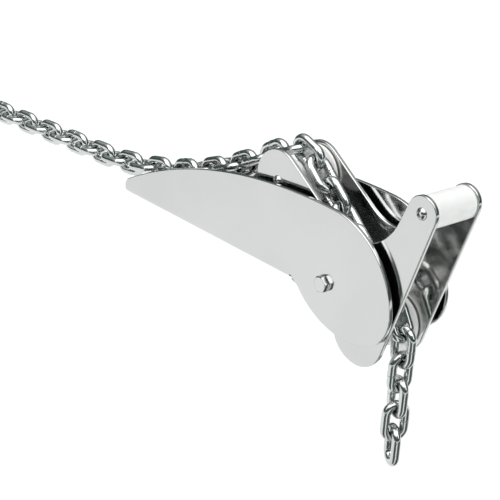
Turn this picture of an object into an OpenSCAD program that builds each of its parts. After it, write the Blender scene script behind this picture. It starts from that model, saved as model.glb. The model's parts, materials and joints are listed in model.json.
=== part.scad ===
/* [Channel frame] */
// Half the outside width across the two cheeks
frame_half_w = 35; // [34:0.5:40]
// Thickness of the sheet that the channel is folded from
sheet_t = 4; // [3:0.5:4]
// Distance from the deck pattern's centre to either end of the channel floor
floor_half_l = 127.5; // [120:0.5:128]
// Radius of the long crown curve along the top of a cheek
crown_r = 588; // [560:1:620]
// Height of the crown above the deck
crown_z = 80; // [78:0.5:82]
// Radius of the nose curve at the front of a cheek
nose_r = 75.5; // [74:0.5:77]
// Radius of the chin curve below the nose
chin_r = 36; // [34:0.5:38]
// Radius of the belly curve under the front of a cheek
belly_r = 81; // [78:0.5:84]

/* [Deck fixing] */
// Distance between deck bolts along the channel
deck_pitch_x = 170; // [150:1:180]
// Distance between deck bolts across the channel
deck_pitch_y = 34; // [30:1:38]
// Radius of a deck bolt hole
deck_hole_r = 4.25; // [3.25:0.25:5.25]

/* [Cradle] */
// Distance of the pivot bolt in front of the deck pattern's centre
pivot_x = 170; // [168:0.5:172]
// Height of the pivot bolt above the deck
pivot_z = 12; // [11:0.5:13]
// Half the outside width across the cradle plates
cradle_half_w = 26.5; // [26:0.25:27]
// Thickness of a cradle plate
plate_t = 4; // [3:0.5:4]
// Radius of the lobe round the rear roller
rear_lobe_r = 28.3; // [28:0.1:29]
// Radius of the lobe round the front roller
front_lobe_r = 29.5; // [29:0.1:30]
// Radius of the lobe round the top roller
top_lobe_r = 14.7; // [14.5:0.1:15.5]
// Radius of the hollow between the cradle's back edge and its arm
arm_fillet_r = 50; // [46:1:52]

/* [Rollers] */
// Radius of a grooved roller's rim
rim_r = 25.3; // [24.5:0.1:26]
// Radius of the shoulders that flat links lie on
shoulder_r = 19.6; // [19:0.1:19.8]
// Radius at the bottom of the groove for upright links
groove_r = 14.4; // [13:0.1:14.6]
// How much deeper the rear roller's shoulders and groove are cut
rear_sink = 3.7; // [3:0.1:3.8]
// Radius of the plain top roller
top_roller_r = 13.6; // [12:0.1:14]
// Radius of the roller axles
axle_r = 7; // [6:0.5:7]
// Radial clearance of a roller or bush on its shaft
run_gap = 0.06; // [0.02:0.01:0.1]

/* [Chain] */
// Diameter of the chain's wire
wire_d = 8; // [7.5:0.1:8]
// Outside width of a link
link_w = 26; // [25.5:0.1:26.5]
// Outside length of a link
link_l = 40; // [39.5:0.1:40]
// Play left between two linked wires
link_play = 0.3; // [0.2:0.05:0.5]
// Twist that each hanging link adds, in degrees
hang_twist = 7; // [0:1:7]

/* [Hidden] */
$fn = 96;

steel = "gainsboro";
nylon = "white";

// Overlap that lets two touching curves cut each other cleanly
hair = 0.03;

// Channel frame
bend_r = 5;
inner_bend_r = bend_r - sheet_t;
heel_a = 27;
nose_a = 3.1;
chin_a = 7;
belly_a = 17.5;
crown_c = [pivot_x - 26.5, crown_z - crown_r];
nose_c = crown_c + (crown_r - nose_r) * [sin(nose_a), cos(nose_a)];
chin_c = nose_c + (nose_r - chin_r) * [cos(chin_a), sin(chin_a)];
belly_c = chin_c + (belly_r - chin_r) * [-sin(belly_a), cos(belly_a)];
heel_r = 9.7;
heel_c = crown_c + (crown_r - heel_r) * [-sin(heel_a), cos(heel_a)];
floor_front = floor_half_l;
throat_top = [floor_front + 1.5, 0];
throat_rise = belly_c - throat_top;
throat_r = (throat_rise * throat_rise - belly_r * belly_r) / (2 * (belly_r - throat_rise[1]));
throat_c = throat_top - [0, throat_r];
throat_dir = (throat_c - belly_c) / norm(throat_c - belly_c);
relief_z = 1.2;
relief_r = 2.5;

// Pivot, from the outside in
bolt_r = 4;
bolt_clear = 0.1;
hex_af = 13;
hex_r = hex_af / sqrt(3);
head_h = 5.3;
washer_r = 8;
washer_t = 1.6;
nut_h = 8;
bolt_tail = 2;
spacer_r = 7;
cheek_in = frame_half_w - sheet_t;
plate_in = cradle_half_w - plate_t;
bush_r = 8.5;
bush_flange_r = 12;
bush_len = 14;
bush_side_gap = 0.2;
bush_fit = 0.05;
flange_fit = 0.02;
hub_r = 10.5;
pivot = [pivot_x, pivot_z];

// Cradle plate, seen from starboard: [forward, up]
rear_c = [pivot_x - 75, 78];
front_c = [pivot_x + 34.5, -22.5];
top_c = [pivot_x + 89.8, 101.8];
boss_r = 18;
back_slope = 34.4;
arm_slope = 67.2;
tilt_max = 29;
floor_gap = 0.6;

// Stop bar, lying against the cradle plates' rear edges
stop_r = 5;
stop_gap = 0.1;
stop_z = -12;

// Rollers and their axles
roller_half = 21.4;
top_roller_half = 22.3;
side_washer_t = 0.8;
side_washer_r = 12;
rim_w = 2.4;
shoulder_end = 13.6;
groove_half = 5;
groove_top_half = 6.4;
m6_r = 3;
thread_gap = 0.05;
m6_head_r = 5.25;
m6_head_h = 3.3;
tap_depth = 16;
grip_len = 12;

// Chain: a flat link's wires are 32 mm apart, an upright link's hooks 15.4 mm
wire_r = wire_d / 2;
bow_r = (link_w - wire_d) / 2;
flat_step = link_l - wire_d;
upright_step = flat_step - 2 * wire_d - 2 * link_play;
front_wrap_r = 29;
rear_wrap_r = front_wrap_r - rear_sink + 0.7;
run_n = tangent_dir(rear_c, rear_wrap_r, front_c, front_wrap_r);
run_turn = atan2(run_n[1], run_n[0]);
run_start = rear_c + rear_wrap_r * run_n;
run_end = front_c + front_wrap_r * run_n;
run_len = norm(run_end - run_start);
run_sag = 1;
front_wrap = front_wrap_r * run_turn * PI / 180;
ramp_slope = 31;
rear_wrap = rear_wrap_r * (90 + ramp_slope - run_turn) * PI / 180;
ramp_top = rear_c + rear_wrap_r * [-sin(ramp_slope), cos(ramp_slope)];
deck_chain_z = 13;
ramp_rise = ramp_top[1] - deck_chain_z;
ramp_run = 2 * ramp_rise / tan(ramp_slope);
veer_x = pivot_x - 290;
veer = 5.4;
first_joint = -2;
cradle_links = 7;
ramp_links = 10;
deck_links = 16;
drop_links = 3;

// A point a hair inside the circle round c, whose outward direction is m
function near_circle(c, r, m) = c + (r - hair) * m;

// Outward direction of the line that touches circles (c1, r1) and (c2, r2), on the left of c1 to c2
function tangent_dir(c1, r1, c2, r2) =
    let (d = c2 - c1, len = norm(d), u = d / len, left = [-u[1], u[0]], s = (r1 - r2) / len)
    sqrt(1 - s * s) * left + s * u;

// Where the line through p along u meets the line through q along v
function meet(p, u, q, v) =
    let (w = q - p, k = (w[0] * v[1] - w[1] * v[0]) / (u[0] * v[1] - u[1] * v[0]))
    p + k * u;

// Centre line of the chain, by a parameter that runs forward from where it leaves the rear roller
function ramp_point(x) =
    let (back = max(0, ramp_top[0] - x), left = max(0, ramp_run - back))
    [x, -max(0, veer_x - x) * tan(veer), deck_chain_z + ramp_rise * pow(left / ramp_run, 2)];

function run_point(t) =
    let (u = t / run_len, p = run_start + u * (run_end - run_start) - 4 * run_sag * u * (1 - u) * run_n)
    [p[0], 0, p[1]];

// The point of the circle round c that lies the length t past the run's outward direction
function arc_point(c, r, t) =
    let (a = run_turn - t / r * 180 / PI)
    [c[0] + r * cos(a), 0, c[1] + r * sin(a)];

function chain_point(t) =
    t < -rear_wrap ? ramp_point(ramp_top[0] + t + rear_wrap) :
    t < 0 ? arc_point(rear_c, rear_wrap_r, t) :
    t < run_len ? run_point(t) :
    t < run_len + front_wrap ? arc_point(front_c, front_wrap_r, t - run_len) :
    [front_c[0] + front_wrap_r, 0, front_c[1] - (t - run_len - front_wrap)];

// The parameter one chord of the given length away from t, forward or back
function chord_step(t, len, way, guess, tries = 6) =
    tries == 0 ? t + way * guess :
    chord_step(t, len, way, guess * len / norm(chain_point(t + way * guess) - chain_point(t)), tries - 1);

// Joints are numbered forward from the first joint; an even joint starts a flat link
function hook_len(i) = i % 2 == 0 ? flat_step : upright_step;
function joint_t(i) =
    i == 0 ? first_joint :
    i > 0 ? let (t = joint_t(i - 1), l = hook_len(i - 1)) chord_step(t, l, 1, l) :
    let (t = joint_t(i + 1), l = hook_len(i)) chord_step(t, l, -1, l);

module upright_sheet(y0, y1) {
    translate([0, y1, 0]) rotate([90, 0, 0]) linear_extrude(y1 - y0) children();
}

module both_sides() {
    children();
    mirror([0, 1, 0]) children();
}

module cross_rod(r, y0, y1) {
    translate([0, y1, 0]) rotate([90, 0, 0]) cylinder(r = r, h = y1 - y0);
}

module at(p) {
    translate([p[0], 0, p[1]]) children();
}

// The part of the circle round c that lies between outward directions m1 and m2, less than half a turn apart
module sector(c, r, m1, m2) {
    intersection() {
        translate(c) circle(r = r);
        polygon([c, c + 2 * r * m1, c + 2 * r * (m1 + m2), c + 2 * r * m2]);
    }
}

// A cheek's outline: crown, nose, chin, belly and throat curves, each running smoothly into the next
module cheek_outline() {
    crown_top = 1.1 * crown_r;
    intersection() {
        translate(crown_c) circle(r = crown_r, $fn = 720);
        polygon([heel_c, [heel_c[0], 0], [chin_c[0], 0], [chin_c[0], nose_c[1]], nose_c,
                 crown_c + crown_top * [sin(nose_a), cos(nose_a)], crown_c + crown_top * [-sin(heel_a), cos(heel_a)]]);
    }
    translate(heel_c) circle(r = heel_r + hair);
    sector(nose_c, nose_r + hair, [cos(chin_a), sin(chin_a)], [0, 1]);
    translate(chin_c) circle(r = chin_r + hair);
    sector(belly_c, belly_r, throat_dir, [sin(belly_a), -cos(belly_a)]);
    difference() {
        polygon([[floor_front - 5, 1], throat_top, near_circle(belly_c, belly_r, throat_dir),
                 [chin_c[0], 0], [chin_c[0], 1]]);
        translate(throat_c) circle(r = throat_r - hair);
    }
}

module channel_section(length) {
    rotate([90, 0, 90]) linear_extrude(length) difference() {
        union() {
            translate([-frame_half_w, bend_r]) square([2 * frame_half_w, 2 * crown_z]);
            translate([-frame_half_w + bend_r, 0]) square([2 * (frame_half_w - bend_r), bend_r]);
            for (s = [-1, 1]) translate([s * (frame_half_w - bend_r), bend_r]) circle(r = bend_r);
        }
        translate([-cheek_in + inner_bend_r, sheet_t]) square([2 * (cheek_in - inner_bend_r), 2 * crown_z]);
        translate([-cheek_in, sheet_t + inner_bend_r]) square([2 * cheek_in, 2 * crown_z]);
        for (s = [-1, 1]) translate([s * (cheek_in - inner_bend_r), sheet_t + inner_bend_r]) circle(r = inner_bend_r);
    }
}

module channel_frame() {
    color(steel) difference() {
        union() {
            intersection() {
                translate([-floor_half_l - 10, 0, 0]) channel_section(floor_half_l + 10 + floor_front);
                upright_sheet(-frame_half_w, frame_half_w) cheek_outline();
            }
            both_sides() intersection() {
                upright_sheet(cheek_in, frame_half_w) cheek_outline();
                translate([floor_front, -100, -100]) cube([200, 200, 300]);
            }
        }
        both_sides() at([floor_front, relief_z]) cross_rod(relief_r, cheek_in - bend_r, frame_half_w + 1);
        for (x = [-1, 1], y = [-1, 1])
            translate([x * deck_pitch_x / 2, y * deck_pitch_y / 2, -1]) cylinder(r = deck_hole_r, h = sheet_t + 2);
        at(pivot) cross_rod(bolt_r + bolt_clear, -frame_half_w - 1, frame_half_w + 1);
    }
}

// The bar lies one gap off the straight edge between the boss and the front lobe
stop_dir = tangent_dir(front_c, front_lobe_r, pivot, boss_r);
stop_off = stop_dir * pivot + boss_r + stop_r + stop_gap;
stop_c = [(stop_off - stop_dir[1] * stop_z) / stop_dir[0], stop_z];

module cradle_stop_bar() {
    color(steel) at(stop_c) cross_rod(stop_r, -cheek_in, cheek_in);
}

module hex_prism(h) {
    rotate([90, 0, 0]) rotate([0, 0, 15]) cylinder(r = hex_r, h = h, $fn = 6);
}

module pivot_bolt() {
    color(steel) at(pivot) {
        translate([0, -frame_half_w, 0]) intersection() {
            hex_prism(head_h);
            rotate([90, 0, 0]) cylinder(r1 = hex_r + 4, r2 = hex_af / 2 - 0.3, h = head_h);
        }
        cross_rod(bolt_r, -frame_half_w, frame_half_w + washer_t + nut_h + bolt_tail);
    }
}

module pivot_washers() {
    color(steel) at(pivot) difference() {
        cross_rod(washer_r, frame_half_w, frame_half_w + washer_t);
        cross_rod(bolt_r + bolt_clear, frame_half_w - 1, frame_half_w + washer_t + 1);
    }
}

module pivot_lock_nut() {
    color(steel) at(pivot) difference() {
        union() {
            translate([0, frame_half_w + washer_t + 0.75 * nut_h, 0]) hex_prism(0.75 * nut_h);
            cross_rod(hex_af / 2 - 0.8, frame_half_w + washer_t, frame_half_w + washer_t + nut_h);
        }
        cross_rod(bolt_r + thread_gap, frame_half_w, frame_half_w + washer_t + nut_h + 1);
    }
}

module pivot_spacer_tube() {
    color(steel) at(pivot) difference() {
        cross_rod(spacer_r, -cheek_in, cheek_in);
        cross_rod(bolt_r + bolt_clear, -frame_half_w, frame_half_w);
    }
}

// Tangent points of the cradle plate's outline
back_n = [sin(back_slope), cos(back_slope)];
back_d = [cos(back_slope), -sin(back_slope)];
arm_n = [-sin(arm_slope), cos(arm_slope)];
arm_d = [cos(arm_slope), sin(arm_slope)];
back_start = near_circle(rear_c, rear_lobe_r, back_n);
arm_end = near_circle(top_c, top_lobe_r, arm_n);
fillet_c = meet(back_start + arm_fillet_r * back_n, back_d, arm_end + arm_fillet_r * arm_n, arm_d);
lip_n = tangent_dir(top_c, top_lobe_r, front_c, front_lobe_r);
keel_drop = pivot_z - sheet_t - floor_gap;
keel_n = [-sin(tilt_max), -cos(tilt_max)];
keel_p = pivot + keel_drop * keel_n;
keel_d = [-cos(tilt_max), sin(tilt_max)];
keel_boss = keel_p + 0.9 * sqrt(boss_r * boss_r - keel_drop * keel_drop) * keel_d;
keel_rear = rear_c + ((keel_p - rear_c) * keel_n) * keel_n;

module cradle_outline() {
    difference() {
        union() {
            translate(rear_c) circle(r = rear_lobe_r);
            translate(front_c) circle(r = front_lobe_r);
            translate(top_c) circle(r = top_lobe_r);
            translate(pivot) circle(r = boss_r);
            polygon([keel_rear, keel_boss,
                     near_circle(pivot, boss_r, stop_dir), near_circle(front_c, front_lobe_r, stop_dir),
                     near_circle(front_c, front_lobe_r, lip_n), near_circle(top_c, top_lobe_r, lip_n),
                     top_c, arm_end, fillet_c - arm_fillet_r * arm_n, fillet_c - arm_fillet_r * back_n,
                     back_start, rear_c]);
        }
        translate(fillet_c + hair * (back_n + arm_n)) circle(r = arm_fillet_r);
    }
}

module cradle_plate() {
    difference() {
        upright_sheet(plate_in, cradle_half_w) cradle_outline();
        at(pivot) cross_rod(bush_r, 0, 100);
        for (c = [rear_c, front_c, top_c]) at(c) cross_rod(m6_r + bolt_clear, 0, 100);
    }
}

module cradle_plate_port() {
    color(steel) cradle_plate();
}

module cradle_plate_starboard() {
    color(steel) mirror([0, 1, 0]) cradle_plate();
}

module cradle_hub_tube() {
    color(steel) at(pivot) difference() {
        cross_rod(hub_r, -plate_in, plate_in);
        cross_rod(bush_r, -plate_in - 1, plate_in + 1);
    }
}

module pivot_bushes() {
    color(nylon) both_sides() at(pivot) difference() {
        union() {
            cross_rod(bush_r - bush_fit, cradle_half_w - bush_len, cradle_half_w + 1);
            cross_rod(bush_flange_r, cradle_half_w + flange_fit, cheek_in - bush_side_gap);
        }
        cross_rod(spacer_r + run_gap, 0, cheek_in + 1);
    }
}

module axle(screw_r) {
    difference() {
        cross_rod(axle_r, -plate_in, plate_in);
        cross_rod(screw_r + thread_gap, -plate_in - 1, -plate_in + tap_depth);
        cross_rod(screw_r + thread_gap, plate_in - tap_depth, plate_in + 1);
    }
}

module rear_axle() {
    color(steel) at(rear_c) axle(m6_r);
}

module front_axle() {
    color(steel) at(front_c) axle(m6_r);
}

module top_axle() {
    color(steel) at(top_c) axle(m6_r);
}

// A button-head screw with a hexagon socket, its head on the port plate
module button_screw(r, head_r, head_h, socket_r) {
    ball_r = (head_r * head_r + head_h * head_h) / (2 * head_h);
    difference() {
        union() {
            cross_rod(r, plate_in - grip_len, cradle_half_w);
            intersection() {
                cross_rod(head_r, cradle_half_w, cradle_half_w + head_h);
                translate([0, cradle_half_w + head_h - ball_r, 0]) sphere(r = ball_r);
            }
        }
        translate([0, cradle_half_w + head_h + 1, 0]) rotate([90, 0, 0])
            cylinder(r = socket_r, h = 0.55 * head_h + 1, $fn = 6);
    }
}

module rear_axle_screws() {
    color(steel) both_sides() at(rear_c) button_screw(m6_r, m6_head_r, m6_head_h, 2.3);
}

module front_axle_screws() {
    color(steel) both_sides() at(front_c) button_screw(m6_r, m6_head_r, m6_head_h, 2.3);
}

module top_axle_screws() {
    color(steel) both_sides() at(top_c) button_screw(m6_r, m6_head_r, m6_head_h, 2.3);
}

module side_washers() {
    both_sides() difference() {
        cross_rod(side_washer_r, plate_in - 0.05 - side_washer_t, plate_in - 0.05);
        cross_rod(axle_r + run_gap, 0, plate_in + 1);
    }
}

module rear_roller_washers() {
    color(nylon) at(rear_c) side_washers();
}

module front_roller_washers() {
    color(nylon) at(front_c) side_washers();
}

// Half section of a grooved roller, its shoulders and groove cut deeper by the sink
module grooved_roller(sink) {
    bore = axle_r + run_gap;
    shoulder = shoulder_r - sink;
    groove = groove_r - sink;
    rotate([90, 0, 0]) rotate_extrude() polygon([
        [bore, -roller_half], [rim_r, -roller_half], [rim_r, -roller_half + rim_w],
        [shoulder, -shoulder_end], [shoulder, -groove_top_half], [groove, -groove_half],
        [groove, groove_half], [shoulder, groove_top_half], [shoulder, shoulder_end],
        [rim_r, roller_half - rim_w], [rim_r, roller_half], [bore, roller_half]
    ]);
}

module rear_roller() {
    color(nylon) at(rear_c) grooved_roller(rear_sink);
}

module front_roller() {
    color(nylon) at(front_c) grooved_roller(0);
}

module top_roller() {
    color(nylon) at(top_c) difference() {
        cross_rod(top_roller_r, -top_roller_half, top_roller_half);
        cross_rod(axle_r + run_gap, -top_roller_half - 1, top_roller_half + 1);
    }
}

// One link along X, its loop lying in the XY plane
module link() {
    half = flat_step / 2 - bow_r;
    for (s = [-1, 1]) {
        translate([-half, s * bow_r, 0]) rotate([0, 90, 0]) cylinder(r = wire_r, h = 2 * half, $fn = 32);
        translate([s * half, 0, 0]) rotate([0, 0, -90 * s]) intersection() {
            rotate_extrude($fn = 48) translate([bow_r, 0]) circle(r = wire_r, $fn = 32);
            translate([-50, 0, -50]) cube([100, 50, 100]);
        }
    }
}

// The link between joints i and i + 1
module chain_link(i) {
    a = chain_point(joint_t(i));
    b = chain_point(joint_t(i + 1));
    d = b - a;
    twist = max(0, i - cradle_links) * hang_twist;
    translate((a + b) / 2)
        rotate([(i % 2 == 0 ? 0 : 90) + twist, -asin(d[2] / norm(d)), atan2(d[1], d[0])]) link();
}

module chain_links(first, count) {
    for (i = [first : first + count - 1]) chain_link(i);
}

module chain_cradle_links() {
    color(steel) chain_links(-1, cradle_links + 1);
}

module chain_ramp_links() {
    color(steel) chain_links(-1 - ramp_links, ramp_links);
}

module chain_deck_links() {
    color(steel) chain_links(-1 - ramp_links - deck_links, deck_links);
}

module chain_lead_link() {
    color(steel) chain_link(cradle_links);
}

module chain_guide_link() {
    color(steel) chain_link(cradle_links + 1);
}

module chain_drop_links() {
    color(steel) chain_links(cradle_links + 2, drop_links);
}

channel_frame();
cradle_stop_bar();
pivot_bolt();
pivot_washers();
pivot_lock_nut();
pivot_spacer_tube();
cradle_plate_starboard();
cradle_plate_port();
cradle_hub_tube();
pivot_bushes();
rear_axle();
front_axle();
top_axle();
rear_axle_screws();
front_axle_screws();
top_axle_screws();
rear_roller_washers();
front_roller_washers();
rear_roller();
front_roller();
top_roller();
chain_cradle_links();
chain_ramp_links();
chain_deck_links();
chain_lead_link();
chain_guide_link();
chain_drop_links();
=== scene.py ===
"""Hinged bow roller of polished steel with an anchor chain laid over it: the visual model."""

import bmesh
import bpy
import json
import math
import numpy as np
from mathutils import Matrix, Vector


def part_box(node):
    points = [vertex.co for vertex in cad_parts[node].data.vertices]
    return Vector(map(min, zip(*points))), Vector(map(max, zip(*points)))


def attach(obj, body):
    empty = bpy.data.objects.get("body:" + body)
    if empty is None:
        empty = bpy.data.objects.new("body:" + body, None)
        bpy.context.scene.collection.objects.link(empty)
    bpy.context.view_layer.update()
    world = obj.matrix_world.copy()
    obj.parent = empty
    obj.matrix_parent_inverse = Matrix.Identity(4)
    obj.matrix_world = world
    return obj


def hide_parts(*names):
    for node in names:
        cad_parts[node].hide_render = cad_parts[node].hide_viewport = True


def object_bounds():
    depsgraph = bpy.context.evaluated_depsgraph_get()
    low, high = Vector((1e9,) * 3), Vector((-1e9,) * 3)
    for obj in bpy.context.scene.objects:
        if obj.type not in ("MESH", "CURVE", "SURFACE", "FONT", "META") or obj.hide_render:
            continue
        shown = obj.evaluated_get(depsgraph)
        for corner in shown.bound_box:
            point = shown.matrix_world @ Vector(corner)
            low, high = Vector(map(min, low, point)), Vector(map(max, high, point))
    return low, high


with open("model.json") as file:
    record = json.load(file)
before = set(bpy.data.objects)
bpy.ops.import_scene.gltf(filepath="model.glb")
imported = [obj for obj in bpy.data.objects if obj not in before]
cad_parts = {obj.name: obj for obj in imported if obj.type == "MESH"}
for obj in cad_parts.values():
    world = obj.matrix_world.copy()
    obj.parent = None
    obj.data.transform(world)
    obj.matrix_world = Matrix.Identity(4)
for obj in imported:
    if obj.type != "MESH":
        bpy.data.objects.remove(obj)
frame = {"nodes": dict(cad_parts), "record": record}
CAD_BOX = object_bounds()
NODES = frame["nodes"]
MM = 0.001

# Roller sections, along the axle and out from it
ROLLER_BORE = 7.06 * MM
ROLLER_HALF = 21.4 * MM
RIM_R = 25.3 * MM
RIM_W = 2.4 * MM
SHOULDER_R = 19.6 * MM
SHOULDER_END = 13.6 * MM
GROOVE_R = 14.4 * MM
GROOVE_HALF = 5.0 * MM
GROOVE_TOP_HALF = 6.4 * MM
REAR_SINK = 3.7 * MM
TOP_ROLLER_R = 13.6 * MM
TOP_ROLLER_HALF = 22.3 * MM
ROLLER_EDGE = 0.8 * MM
TOP_ROLLER_EDGE = 1.2 * MM

# Chain link
WIRE_R = 4.0 * MM
LINK_BOW_R = 9.0 * MM
LINK_STRAIGHT = 14.0 * MM
WELD_SWELL = 0.25 * MM
WELD_REACH = 2.2 * MM
WELD_LINE = 0.45 * MM

# Front end of the channel's floor, where its two relief cuts are
FLOOR_FRONT = 127.5 * MM
RELIEF_REACH = 6.0 * MM

# Pivot bolt and lock nut, along the bolt and out from it
HEX_ACROSS = 13.0 * MM
HEX_TURN = math.radians(15)
HEX_CHAMFER = math.tan(math.radians(28))
HEX_FACE_R = 0.94 * HEX_ACROSS / 2
CHEEK_Y = 35.0 * MM
HEAD_H = 5.3 * MM
BOLT_R = 4.0 * MM
NUT_Y = 36.6 * MM
NUT_H = 8.0 * MM
NUT_HEX_H = 6.0 * MM
NUT_COLLAR_R = HEX_ACROSS / 2 - 0.8 * MM
NUT_BORE = BOLT_R + 0.05 * MM
BOLT_TAIL = 2.0 * MM
THREAD_CHAMFER = 0.8 * MM
AXIS_R = 0.01 * MM
BOLT_SEGMENTS = 144

# Rounding of the steel's edges: its width, the least turn of an edge in degrees, and how near two
# corners lie to be merged
SHEET_EDGE = 0.9 * MM
SCREW_EDGE = 0.2 * MM
WASHER_EDGE = 0.3 * MM
SHEET_SHARP = 35.0
SMALL_SHARP = 40.0
SHEET_MERGE = 0.1 * MM
FINE_MERGE = 0.001 * MM

# Camera
CAMERA_AT = Vector((0.78873, -0.64509, 0.40676))
CAMERA_AZIMUTH = math.radians(40.434)
CAMERA_DIP = math.radians(23.013)
CAMERA_ROLL = math.radians(2.919)
CAMERA_LENS = 82.08
SENSOR_WIDTH = 36.0

# Stage. The dark cards lie on the floor round the camera's side, and each runs between two angles, in
# degrees from the bow towards starboard
FLOOR_Z = CAD_BOX[0][2] - 0.30
FLOOR_SIZE = 9.0
FLAG_SECTORS = [(-50, 12), (34, 84)]
FLAG_CENTRE = (0.15, 0.0, FLOOR_Z + 0.01)
FLAG_NEAR = 0.12
FLAG_FAR = 3.0

# Light. The ceiling is a wide sun; each side light has a place, the point it faces, a size and a power
CEILING_FROM = Vector((0.15, -0.25, 1.0))
CEILING_STRENGTH = 2.2
CEILING_SPREAD = math.radians(75)
SIDE_LIGHTS = {
    "left_of_camera": ((-0.3, -1.9, 1.3), (0.05, 0.0, 0.0), (0.7, 1.3), 4.0),
    "right_of_camera": ((1.9, 0.35, 1.1), (0.15, 0.0, 0.0), (0.5, 1.4), 5.0),
}


# ---------------------------------------------------------------- materials

def new_material(name):
    """An empty node material with its Principled shader, and a helper that adds a node."""
    mat = bpy.data.materials.new(name)
    mat.use_nodes = True
    tree = mat.node_tree
    shader = tree.nodes["Principled BSDF"]

    def add(kind, **values):
        node = tree.nodes.new(kind)
        for key, value in values.items():
            if key in node.inputs:
                node.inputs[key].default_value = value
            else:
                setattr(node, key, value)
        return node

    return mat, tree.links, shader, add


def noise(add, links, coord, scale, detail=3.0, stretch=None):
    """A noise field over the object, stretched along chosen axes."""
    mapping = add("ShaderNodeMapping")
    if stretch:
        mapping.inputs["Scale"].default_value = stretch
    links.new(coord.outputs["Object"], mapping.inputs["Vector"])
    field = add("ShaderNodeTexNoise", Scale=scale, Detail=detail)
    links.new(mapping.outputs["Vector"], field.inputs["Vector"])
    return field.outputs["Fac"]


def remap(add, links, value, low, high):
    """The noise value spread over the range from low to high."""
    node = add("ShaderNodeMapRange")
    node.inputs["From Min"].default_value = 0.3
    node.inputs["From Max"].default_value = 0.7
    node.inputs["To Min"].default_value = low
    node.inputs["To Max"].default_value = high
    links.new(value, node.inputs["Value"])
    return node.outputs["Result"]


def two_tone(add, links, value, dark, light):
    """A colour that runs from dark to light with the noise value."""
    ramp = add("ShaderNodeValToRGB")
    ramp.color_ramp.elements[0].position = 0.35
    ramp.color_ramp.elements[0].color = (*dark, 1)
    ramp.color_ramp.elements[1].position = 0.65
    ramp.color_ramp.elements[1].color = (*light, 1)
    links.new(value, ramp.inputs["Fac"])
    return ramp.outputs["Color"]


def bump(add, links, shader, value, strength, distance):
    node = add("ShaderNodeBump", Strength=strength, Distance=distance)
    links.new(value, node.inputs["Height"])
    links.new(node.outputs["Normal"], shader.inputs["Normal"])


def steel_material(name, dark, light, rough, grain, grain_stretch, relief):
    """Polished stainless steel: faint cloudiness, a buffing grain and a trace of relief."""
    mat, links, shader, add = new_material(name)
    coord = add("ShaderNodeTexCoord")
    cloud = noise(add, links, coord, 9.0, 4.0)
    buff = noise(add, links, coord, grain, 5.0, grain_stretch)
    links.new(two_tone(add, links, cloud, dark, light), shader.inputs["Base Color"])
    blend = add("ShaderNodeMath", operation="MULTIPLY_ADD")
    links.new(remap(add, links, buff, -0.35, 0.35), blend.inputs[0])
    blend.inputs[1].default_value = rough[1] - rough[0]
    links.new(remap(add, links, cloud, rough[0], rough[1]), blend.inputs[2])
    links.new(blend.outputs[0], shader.inputs["Roughness"])
    bump(add, links, shader, buff, relief, 0.0002)
    shader.inputs["Metallic"].default_value = 1.0
    return mat


def nylon_material(name, dark, light, rough, turning):
    """White nylon turned on a lathe: fine rings, a faint mottle and a soft gloss."""
    mat, links, shader, add = new_material(name)
    coord = add("ShaderNodeTexCoord")
    mottle = noise(add, links, coord, 60.0, 4.0)
    rings = noise(add, links, coord, turning, 2.0, (0.02, 1.0, 0.02))
    links.new(two_tone(add, links, mottle, dark, light), shader.inputs["Base Color"])
    links.new(remap(add, links, mottle, rough[0], rough[1]), shader.inputs["Roughness"])
    bump(add, links, shader, rings, 0.25, 0.0002)
    shader.inputs["Subsurface Weight"].default_value = 0.15
    shader.inputs["Subsurface Scale"].default_value = 0.004
    return mat


def floor_material():
    mat, links, shader, add = new_material("floor_paper")
    coord = add("ShaderNodeTexCoord")
    fibre = noise(add, links, coord, 40.0, 2.0)
    colour = two_tone(add, links, fibre, (0.90, 0.90, 0.90), (0.92, 0.92, 0.92))
    links.new(colour, shader.inputs["Base Color"])
    shader.inputs["Roughness"].default_value = 0.9
    shader.inputs["Specular IOR Level"].default_value = 0.1
    return mat


PLATE = steel_material("polished_plate", (0.575, 0.580, 0.575), (0.615, 0.617, 0.612), (0.09, 0.13),
                       900.0, (0.05, 1.0, 1.0), 0.04)
FASTENER = steel_material("fastener_steel", (0.55, 0.56, 0.555), (0.62, 0.63, 0.625), (0.12, 0.20),
                          1500.0, (1.0, 0.1, 1.0), 0.10)
CHAIN = steel_material("chain_steel", (0.55, 0.57, 0.562), (0.65, 0.665, 0.657), (0.10, 0.18),
                       700.0, (1.0, 1.0, 1.0), 0.12)
NYLON = nylon_material("roller_nylon", (0.82, 0.82, 0.81), (0.88, 0.88, 0.87), (0.32, 0.45), 1800.0)
NYLON_TRIM = nylon_material("trim_nylon", (0.80, 0.80, 0.78), (0.88, 0.88, 0.86), (0.38, 0.5), 1800.0)
SLOTS = {
    "polished_plate": PLATE, "fastener_steel": FASTENER, "chain_steel": CHAIN,
    "nylon": NYLON, "nylon_trim": NYLON_TRIM,
}


# ---------------------------------------------------------------- mesh helpers

def add_piece(name, bm, body, slot, nodes=()):
    """Makes a smooth-shaded piece from bm that rides on a body and stands for CAD nodes."""
    mesh = bpy.data.meshes.new(name)
    bm.to_mesh(mesh)
    bm.free()
    for face in mesh.polygons:
        face.use_smooth = True
    obj = bpy.data.objects.new(name, mesh)
    bpy.context.scene.collection.objects.link(obj)
    mesh.materials.append(SLOTS[slot])
    weighted = obj.modifiers.new("weighted", "WEIGHTED_NORMAL")
    weighted.keep_sharp = True
    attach(obj, body)
    if nodes:
        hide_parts(*nodes)
    return obj


def welded_copy(node, merge):
    """The CAD node's mesh, with its doubled corners merged and flat areas cleaned."""
    bm = bmesh.new()
    bm.from_mesh(NODES[node].data)
    bmesh.ops.remove_doubles(bm, verts=bm.verts, dist=merge)
    bmesh.ops.dissolve_limit(bm, angle_limit=math.radians(0.05), verts=bm.verts, edges=bm.edges)
    return bm


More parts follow.
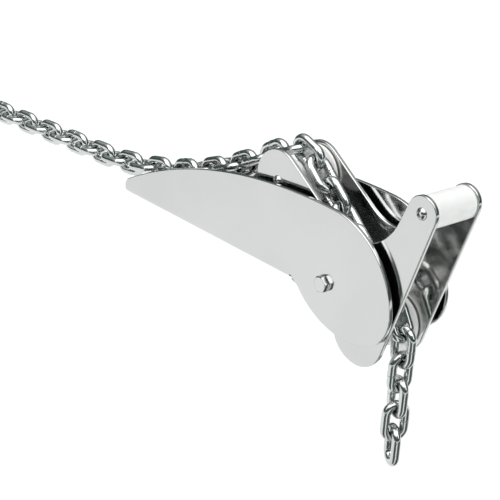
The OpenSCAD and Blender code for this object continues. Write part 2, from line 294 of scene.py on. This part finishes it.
def round_edges(bm, width, sharp, segments=3, keep=None):
    """Rounds every edge that turns more than the sharp angle, but for those whose middle is to be kept."""
    bm.normal_update()
    limit = math.radians(sharp)
    edges = [e for e in bm.edges if len(e.link_faces) == 2 and e.calc_face_angle(0.0) > limit]
    if keep:
        edges = [e for e in edges if not keep((e.verts[0].co + e.verts[1].co) / 2)]
    bmesh.ops.bevel(bm, geom=edges, offset=width, offset_type="OFFSET", segments=segments,
                    profile=0.5, affect="EDGES", clamp_overlap=False)
    bmesh.ops.triangulate(bm, faces=[f for f in bm.faces if len(f.verts) > 4])
    return bm


def rounded_node(node, body, slot, width, sharp=SHEET_SHARP, merge=SHEET_MERGE, keep=None):
    bm = round_edges(welded_copy(node, merge), width, sharp, keep=keep)
    return add_piece(node + "_finished", bm, body, slot, [node])


def rounded_profile(corners, radius, steps=4):
    """The closed outline through corners, each one rounded off."""
    out = []
    count = len(corners)
    for i in range(count):
        here, back, on = Vector(corners[i]), Vector(corners[i - 1]), Vector(corners[(i + 1) % count])
        cut = min(radius, (back - here).length * 0.45, (on - here).length * 0.45)
        a = here + (back - here).normalized() * cut
        b = here + (on - here).normalized() * cut
        for k in range(steps + 1):
            t = k / steps
            out.append((1 - t) ** 2 * a + 2 * t * (1 - t) * here + t ** 2 * b)
    return out


def lathe(outline, centre, segments=96):
    """A closed outline of (along, out) points turned round the Y axis through centre.

    Either value may be a function of the angle, which makes flats.
    """
    bm = bmesh.new()
    rings = []
    for k in range(segments):
        a = 2 * math.pi * k / segments
        ring = []
        for along, out in outline:
            y = along(a) if callable(along) else along
            r = out(a) if callable(out) else out
            ring.append(bm.verts.new(centre + Vector((r * math.cos(a), y, r * math.sin(a)))))
        rings.append(ring)
    for k in range(segments):
        one, two = rings[k], rings[(k + 1) % segments]
        for i in range(len(outline)):
            j = (i + 1) % len(outline)
            bm.faces.new((one[i], one[j], two[j], two[i]))
    bmesh.ops.recalc_face_normals(bm, faces=bm.faces)
    return bm


def node_centre(node):
    low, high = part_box(node)
    return (low + high) / 2


# ---------------------------------------------------------------- rollers

def grooved_outline(sink):
    groove, shoulder = GROOVE_R - sink, SHOULDER_R - sink
    half = [(GROOVE_HALF, groove), (GROOVE_TOP_HALF, shoulder), (SHOULDER_END, shoulder),
            (ROLLER_HALF - RIM_W, RIM_R), (ROLLER_HALF, RIM_R)]
    left = [(-y, r) for y, r in reversed(half)]
    return [(-ROLLER_HALF, ROLLER_BORE)] + left + half + [(ROLLER_HALF, ROLLER_BORE)]


def plain_outline():
    return [(-TOP_ROLLER_HALF, ROLLER_BORE), (-TOP_ROLLER_HALF, TOP_ROLLER_R),
            (TOP_ROLLER_HALF, TOP_ROLLER_R), (TOP_ROLLER_HALF, ROLLER_BORE)]


def make_rollers():
    for node, sink in (("rear_roller", REAR_SINK), ("front_roller", 0.0)):
        bm = lathe(rounded_profile(grooved_outline(sink), ROLLER_EDGE), node_centre(node))
        add_piece(node + "_turned", bm, node, "nylon", [node])
    bm = lathe(rounded_profile(plain_outline(), TOP_ROLLER_EDGE), node_centre("top_roller"))
    add_piece("top_roller_turned", bm, "top_roller", "nylon", ["top_roller"])


# ---------------------------------------------------------------- pivot bolt

def hex_radius(angle):
    """How far out a hexagon's side lies at an angle round its axis."""
    sixth = math.pi / 3
    return HEX_ACROSS / 2 / math.cos((angle - HEX_TURN) % sixth - sixth / 2)


def chamfer_drop(angle):
    """How far a flat's top edge lies below the end face, for a chamfer that starts just inside the flats."""
    return (hex_radius(angle) - HEX_FACE_R) * HEX_CHAMFER


def make_pivot_bolt():
    centre = node_centre("pivot_spacer_tube")
    top = -CHEEK_Y - HEAD_H
    end = NUT_Y + NUT_H + BOLT_TAIL
    bolt = [(top, AXIS_R), (top, 0.9 * HEX_ACROSS / 2), (top + 0.02 * MM, HEX_FACE_R),
            (lambda a: top + chamfer_drop(a), hex_radius), (-CHEEK_Y, hex_radius), (-CHEEK_Y, BOLT_R),
            (end - THREAD_CHAMFER, BOLT_R), (end, BOLT_R - THREAD_CHAMFER), (end, AXIS_R)]
    bm = lathe(bolt, centre, BOLT_SEGMENTS)
    add_piece("pivot_bolt_finished", bm, "frame", "fastener_steel", ["pivot_bolt"])
    shut = NUT_Y + NUT_HEX_H
    outer = NUT_Y + NUT_H
    nut = [(NUT_Y, NUT_BORE), (NUT_Y, HEX_FACE_R), (lambda a: NUT_Y + chamfer_drop(a), hex_radius),
           (lambda a: shut - chamfer_drop(a), hex_radius), (shut, HEX_FACE_R),
           (shut + 0.6 * MM, NUT_COLLAR_R), (outer - 0.8 * MM, NUT_COLLAR_R),
           (outer, NUT_COLLAR_R - 0.9 * MM), (outer, NUT_BORE)]
    bm = lathe(nut, centre, BOLT_SEGMENTS)
    add_piece("pivot_lock_nut_finished", bm, "frame", "fastener_steel", ["pivot_lock_nut"])


# ---------------------------------------------------------------- chain

def link_mesh(around=32, bend_steps=14, straight_steps=28):
    """One link along X with its loop in the XY plane, and the seam of its weld on one side."""
    path = []
    half = LINK_STRAIGHT / 2
    for k in range(straight_steps + 1):
        x = -half + LINK_STRAIGHT * k / straight_steps
        path.append((Vector((x, -LINK_BOW_R, 0)), Vector((0, -1, 0)), x))
    for k in range(1, bend_steps):
        a = -math.pi / 2 + math.pi * k / bend_steps
        out = Vector((math.cos(a), math.sin(a), 0))
        path.append((Vector((half, 0, 0)) + LINK_BOW_R * out, out, None))
    for k in range(straight_steps + 1):
        x = half - LINK_STRAIGHT * k / straight_steps
        path.append((Vector((x, LINK_BOW_R, 0)), Vector((0, 1, 0)), None))
    for k in range(1, bend_steps):
        a = math.pi / 2 + math.pi * k / bend_steps
        out = Vector((math.cos(a), math.sin(a), 0))
        path.append((Vector((-half, 0, 0)) + LINK_BOW_R * out, out, None))
    verts = []
    for point, out, weld_x in path:
        r = WIRE_R + (weld_relief(weld_x) if weld_x is not None else 0.0)
        for j in range(around):
            b = 2 * math.pi * j / around
            verts.append(point + r * (math.cos(b) * out + math.sin(b) * Vector((0, 0, 1))))
    count = len(path)
    faces = []
    for i in range(count):
        for j in range(around):
            k = (j + 1) % around
            n = (i + 1) % count
            faces.append((i * around + j, n * around + j, n * around + k, i * around + k))
    return verts, faces


def weld_relief(x):
    """The upset of a butt weld at the middle of the side, with the fine line where the wire's ends met."""
    swell = WELD_SWELL * math.exp(-((x / WELD_REACH) ** 2))
    line = WELD_LINE * math.exp(-((x / WELD_LINE) ** 2))
    return swell - line


def islands(bm):
    """The separate closed solids of a mesh, as lists of faces."""
    seen, groups = set(), []
    for start in bm.faces:
        if start in seen:
            continue
        seen.add(start)
        group, stack = [], [start]
        while stack:
            face = stack.pop()
            group.append(face)
            for edge in face.edges:
                for other in edge.link_faces:
                    if other not in seen:
                        seen.add(other)
                        stack.append(other)
        groups.append(group)
    return groups


def placement(faces):
    """Where a link is: its centre, and its long, wide and thin directions."""
    areas = np.array([f.calc_area() for f in faces])
    mids = np.array([f.calc_center_median() for f in faces])
    centre = (areas[:, None] * mids).sum(0) / areas.sum()
    spread = mids - centre
    values, vectors = np.linalg.eigh((areas[:, None] * spread).T @ spread)
    long, wide = Vector(vectors[:, 2]), Vector(vectors[:, 1])
    thin = long.cross(wide)
    turn = Matrix((long, wide, thin)).transposed()
    return Matrix.Translation(Vector(centre)) @ turn.to_4x4()


def make_chain():
    verts, faces = link_mesh()
    flip = Matrix.Rotation(math.pi, 4, "Z")
    bodies = {"chain_cradle_links": "cradle", "chain_ramp_links": "chain_ramp",
              "chain_deck_links": "chain_deck", "chain_lead_link": "chain_lead",
              "chain_guide_link": "chain_guide", "chain_drop_links": "chain_drop"}
    for node, body in bodies.items():
        source = bmesh.new()
        source.from_mesh(NODES[node].data)
        bmesh.ops.remove_doubles(source, verts=source.verts, dist=FINE_MERGE)
        bm = bmesh.new()
        for number, group in enumerate(islands(source)):
            place = placement(group) @ (flip if number % 3 == 1 else Matrix.Identity(4))
            made = [bm.verts.new(place @ v) for v in verts]
            for face in faces:
                bm.faces.new([made[i] for i in face])
        source.free()
        bmesh.ops.recalc_face_normals(bm, faces=bm.faces)
        add_piece(node + "_forged", bm, body, "chain_steel", [node])


# ---------------------------------------------------------------- steel parts

def near_relief(point):
    """Whether a point lies by the small relief cuts at the front end of the channel's floor."""
    return math.hypot(point.x - FLOOR_FRONT, point.z) < RELIEF_REACH


def make_steel():
    rounded_node("channel_frame", "frame", "polished_plate", SHEET_EDGE, keep=near_relief)
    rounded_node("cradle_plate_starboard", "cradle", "polished_plate", SHEET_EDGE)
    rounded_node("cradle_plate_port", "cradle", "polished_plate", SHEET_EDGE)
    rounded_node("pivot_washers", "frame", "fastener_steel", WASHER_EDGE, SMALL_SHARP, FINE_MERGE)
    for node in ("rear_axle_screws", "front_axle_screws", "top_axle_screws"):
        rounded_node(node, "cradle", "fastener_steel", SCREW_EDGE, SMALL_SHARP, FINE_MERGE)


def finish_carried_nodes():
    """CAD nodes whose shape already serves get their material."""
    slots = {s["node"]: s["material_slot"] for s in frame["record"]["subparts"]}
    for name, obj in NODES.items():
        obj.data.materials.clear()
        obj.data.materials.append(SLOTS[slots[name]])


# ---------------------------------------------------------------- camera, stage and light

def make_camera():
    data = bpy.data.cameras.new("camera")
    data.lens = CAMERA_LENS
    data.sensor_width = SENSOR_WIDTH
    cam = bpy.data.objects.new("camera", data)
    bpy.context.scene.collection.objects.link(cam)
    look = Vector((-math.cos(CAMERA_AZIMUTH) * math.cos(CAMERA_DIP),
                   math.sin(CAMERA_AZIMUTH) * math.cos(CAMERA_DIP), -math.sin(CAMERA_DIP)))
    right = Vector((math.sin(CAMERA_AZIMUTH), math.cos(CAMERA_AZIMUTH), 0))
    up = right.cross(look)
    turn = Matrix.Rotation(-CAMERA_ROLL, 3, look)
    right, up = turn @ right, turn @ up
    cam.matrix_world = Matrix.Translation(CAMERA_AT) @ Matrix((right, up, -look)).transposed().to_4x4()
    bpy.context.scene.camera = cam


def make_floor():
    bm = bmesh.new()
    bmesh.ops.create_grid(bm, x_segments=8, y_segments=8, size=FLOOR_SIZE)
    mesh = bpy.data.meshes.new("floor")
    bm.to_mesh(mesh)
    bm.free()
    floor = bpy.data.objects.new("floor", mesh)
    floor.location = (0, 0, FLOOR_Z)
    bpy.context.scene.collection.objects.link(floor)
    mesh.materials.append(floor_material())


def make_flags():
    """Dark cards on the floor, seen only in reflections: they draw the dark lines of polished steel."""
    mat, links, shader, add = new_material("flag_cloth")
    weave = noise(add, links, add("ShaderNodeTexCoord"), 3.0, 2.0)
    colour = two_tone(add, links, weave, (0.03, 0.045, 0.042), (0.10, 0.12, 0.115))
    links.new(colour, shader.inputs["Base Color"])
    shader.inputs["Roughness"].default_value = 0.9
    for number, (start, end) in enumerate(FLAG_SECTORS):
        bm = bmesh.new()
        corners = [(FLAG_NEAR, start), (FLAG_FAR, start), (FLAG_FAR, end), (FLAG_NEAR, end)]
        bm.faces.new([bm.verts.new((r * math.cos(math.radians(a)), -r * math.sin(math.radians(a)), 0))
                      for r, a in corners])
        mesh = bpy.data.meshes.new("flag_%d" % number)
        bm.to_mesh(mesh)
        bm.free()
        mesh.materials.append(mat)
        flag = bpy.data.objects.new("flag_%d" % number, mesh)
        flag.location = FLAG_CENTRE
        flag.visible_camera = flag.visible_diffuse = flag.visible_shadow = False
        bpy.context.scene.collection.objects.link(flag)


def area_light(name, at, aim, size, power):
    data = bpy.data.lights.new(name, "AREA")
    data.shape = "RECTANGLE"
    data.size, data.size_y = size
    data.energy = power
    light = bpy.data.objects.new(name, data)
    light.location = at
    light.rotation_euler = (Vector(aim) - Vector(at)).to_track_quat("-Z", "Y").to_euler()
    bpy.context.scene.collection.objects.link(light)


def make_world():
    """A bright ceiling over darker walls in reflections, and a plain pale backdrop in the view."""
    world = bpy.data.worlds.new("studio")
    bpy.context.scene.world = world
    world.use_nodes = True
    nodes, links = world.node_tree.nodes, world.node_tree.links
    coord = nodes.new("ShaderNodeTexCoord")
    split = nodes.new("ShaderNodeSeparateXYZ")
    ramp = nodes.new("ShaderNodeValToRGB")
    links.new(coord.outputs["Generated"], split.inputs["Vector"])
    links.new(split.outputs["Z"], ramp.inputs["Fac"])
    path = nodes.new("ShaderNodeLightPath")
    choice = nodes.new("ShaderNodeMix")
    choice.data_type = "RGBA"
    links.new(path.outputs["Is Camera Ray"], choice.inputs["Factor"])
    links.new(ramp.outputs["Color"], choice.inputs[6])
    choice.inputs[7].default_value = (1.0, 1.0, 1.0, 1)
    links.new(choice.outputs[2], nodes["Background"].inputs["Color"])
    stops = ramp.color_ramp.elements
    stops[0].position, stops[0].color = 0.0, (0.050, 0.074, 0.070, 1)
    stops[1].position, stops[1].color = 0.85, (0.75, 0.75, 0.75, 1)
    middle = stops.new(0.42)
    middle.color = (0.10, 0.135, 0.130, 1)
    nodes["Background"].inputs["Strength"].default_value = 1.0


def make_lights():
    """A wide soft ceiling light, and a tall soft light on each side of the camera."""
    data = bpy.data.lights.new("ceiling", "SUN")
    data.energy = CEILING_STRENGTH
    data.angle = CEILING_SPREAD
    ceiling = bpy.data.objects.new("ceiling", data)
    ceiling.rotation_euler = CEILING_FROM.to_track_quat("Z", "Y").to_euler()
    bpy.context.scene.collection.objects.link(ceiling)
    for name, (at, aim, size, power) in SIDE_LIGHTS.items():
        area_light(name, at, aim, size, power)


bpy.context.scene.view_settings.view_transform = "Standard"
make_camera()
make_world()
make_lights()
make_floor()
make_flags()
finish_carried_nodes()
make_steel()
make_pivot_bolt()
make_rollers()
make_chain()
